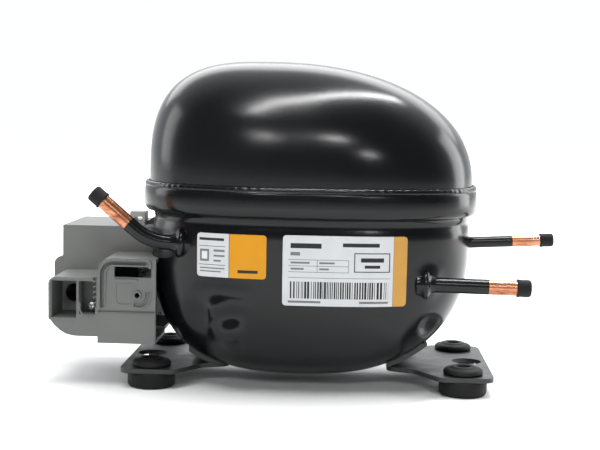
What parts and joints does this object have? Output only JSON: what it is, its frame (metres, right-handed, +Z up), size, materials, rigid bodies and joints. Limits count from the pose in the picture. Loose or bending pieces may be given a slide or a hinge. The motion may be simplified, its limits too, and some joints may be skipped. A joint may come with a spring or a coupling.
{
  "type": "hermetic reciprocating compressor",
  "caption": "Welded black steel refrigeration compressor with sprung piston pump inside, capped copper stub tubes, grey electrical cover and rubber feet.",
  "frame": {"origin": "floor level, at the middle of the four grommet axes", "axes": "+X from the electrical cover towards the discharge tube (longest extent), +Y away from the label side, +Z up along the grommet bores"},
  "size_m": [0.2814, 0.138, 0.1784],
  "materials": {
    "shell_paint": "gloss black paint",
    "grommet_rubber": "matte black rubber",
    "cap_rubber": "matte black rubber",
    "copper": "drawn copper, painted black near the shell",
    "rating_film": "satin printed film",
    "safety_film": "satin printed film",
    "cover_plastic": "fine textured grey plastic",
    "latch_plastic": "light grey plastic",
    "zinc_steel": "zinc plated",
    "glass_bead": "fused glass",
    "black_plastic": "black thermoset",
    "lead_insulation": "woven sleeve",
    "cast_iron": "oiled grey casting",
    "ground_steel": "ground steel",
    "lamination_steel": "stacked laminations",
    "rotor_aluminium": "die cast",
    "winding_wire": "enamelled wire",
    "gasket_sheet": "gasket sheet",
    "muffler_plastic": "natural plastic"
  },
  "bodies": {
    "shell": {"lower_shell": "shell_paint", "upper_shell": "shell_paint", "seam_weld": "shell_paint", "foot_plate_left": "shell_paint", "foot_plate_right": "shell_paint", "grommet_front_left": "grommet_rubber", "grommet_rear_left": "grommet_rubber", "grommet_front_right": "grommet_rubber", "grommet_rear_right": "grommet_rubber", "suction_tube": "copper", "suction_collar": "shell_paint", "discharge_tube": "copper", "discharge_collar": "shell_paint", "process_tube": "copper", "process_stub": "copper", "process_collar": "shell_paint", "rating_label": "rating_film", "safety_label": "safety_film", "hermetic_terminal": "zinc_steel", "terminal_glass": "glass_bead", "terminal_pins": "zinc_steel", "terminal_fence": "zinc_steel", "earth_screw": "zinc_steel", "start_relay": "black_plastic", "overload_protector": "black_plastic", "lead_plug": "black_plastic", "motor_leads": "lead_insulation", "discharge_line": "copper", "suspension_springs": "ground_steel", "spring_pedestals": "ground_steel"},
    "pump": {"cylinder_block": "cast_iron", "thrust_washer": "ground_steel", "stator_core": "lamination_steel", "stator_windings": "winding_wire", "stator_screws": "ground_steel", "valve_gasket": "gasket_sheet", "valve_plate": "ground_steel", "reed_stop": "ground_steel", "head_gasket": "gasket_sheet", "cylinder_head": "cast_iron", "head_screws": "ground_steel", "suction_muffler": "muffler_plastic", "spring_seats": "black_plastic"},
    "crankshaft": {"crankshaft": "cast_iron", "oil_pump_tube": "ground_steel", "rotor_core": "lamination_steel", "rotor_end_rings": "rotor_aluminium", "rotor_counterweight": "ground_steel"},
    "connecting_rod": {"connecting_rod": "cast_iron"},
    "piston": {"piston": "cast_iron", "wrist_pin": "ground_steel"},
    "suction_reed": {"suction_reed": "ground_steel"},
    "discharge_reed": {"discharge_reed": "ground_steel"},
    "suction_cap": {"suction_cap": "cap_rubber"},
    "discharge_cap": {"discharge_cap": "cap_rubber"},
    "process_cap": {"process_cap": "cap_rubber"},
    "terminal_cover": {"terminal_cover": "cover_plastic", "cover_latch": "latch_plastic", "cable_clamp": "cover_plastic", "clamp_screw": "zinc_steel"}
  },
  "joints": [
    {"name": "suspension_bounce", "type": "slide", "parent": "shell", "child": "pump", "axis": [0, 0, 1], "range_m": [-0.002, 0.002], "stiffness_N_per_m": 24000, "springref_m": 0.00171, "deforming": ["suspension_springs", "discharge_line", "motor_leads"]},
    {"name": "crankshaft_spin", "type": "hinge", "parent": "pump", "child": "crankshaft", "pos_m": [0.006, 0, 0.1], "axis": [0, 0, 1], "continuous": true, "deforming": ["connecting_rod"]},
    {"name": "conrod_swing", "type": "hinge", "parent": "crankshaft", "child": "connecting_rod", "pos_m": [0.014, 0, 0.13], "axis": [0, 0, 1], "continuous": true, "deforming": ["connecting_rod"]},
    {"name": "piston_slide", "type": "slide", "parent": "pump", "child": "piston", "axis": [-1, 0, 0], "range_m": [0, 0.016], "deforming": ["connecting_rod"]},
    {"name": "suction_reed_flex", "type": "hinge", "parent": "pump", "child": "suction_reed", "pos_m": [-0.05475, 0, 0.118], "axis": [0, -1, 0], "range_deg": [-5, 0], "stiffness_Nm_per_rad": 0.02},
    {"name": "discharge_reed_flex", "type": "hinge", "parent": "pump", "child": "discharge_reed", "pos_m": [-0.05835, 0.007, 0.142], "axis": [0, 1, 0], "range_deg": [0, 5], "stiffness_Nm_per_rad": 0.02},
    {"name": "suction_cap_pull", "type": "slide", "parent": "shell", "child": "suction_cap", "axis": [0.9999, 0, -0.0155], "range_m": [0, 0.04]},
    {"name": "discharge_cap_pull", "type": "slide", "parent": "shell", "child": "discharge_cap", "axis": [0.9985, 0, 0.0544], "range_m": [0, 0.04]},
    {"name": "process_cap_pull", "type": "slide", "parent": "shell", "child": "process_cap", "axis": [-0.76, 0, 0.6499], "range_m": [0, 0.04]},
    {"name": "terminal_cover_pull", "type": "slide", "parent": "shell", "child": "terminal_cover", "axis": [-1, 0, 0], "range_m": [0, 0.07]}
  ],
  "couplings": [
    {"joint": "conrod_swing", "follows": "crankshaft_spin", "ratio": -1}
  ]
}
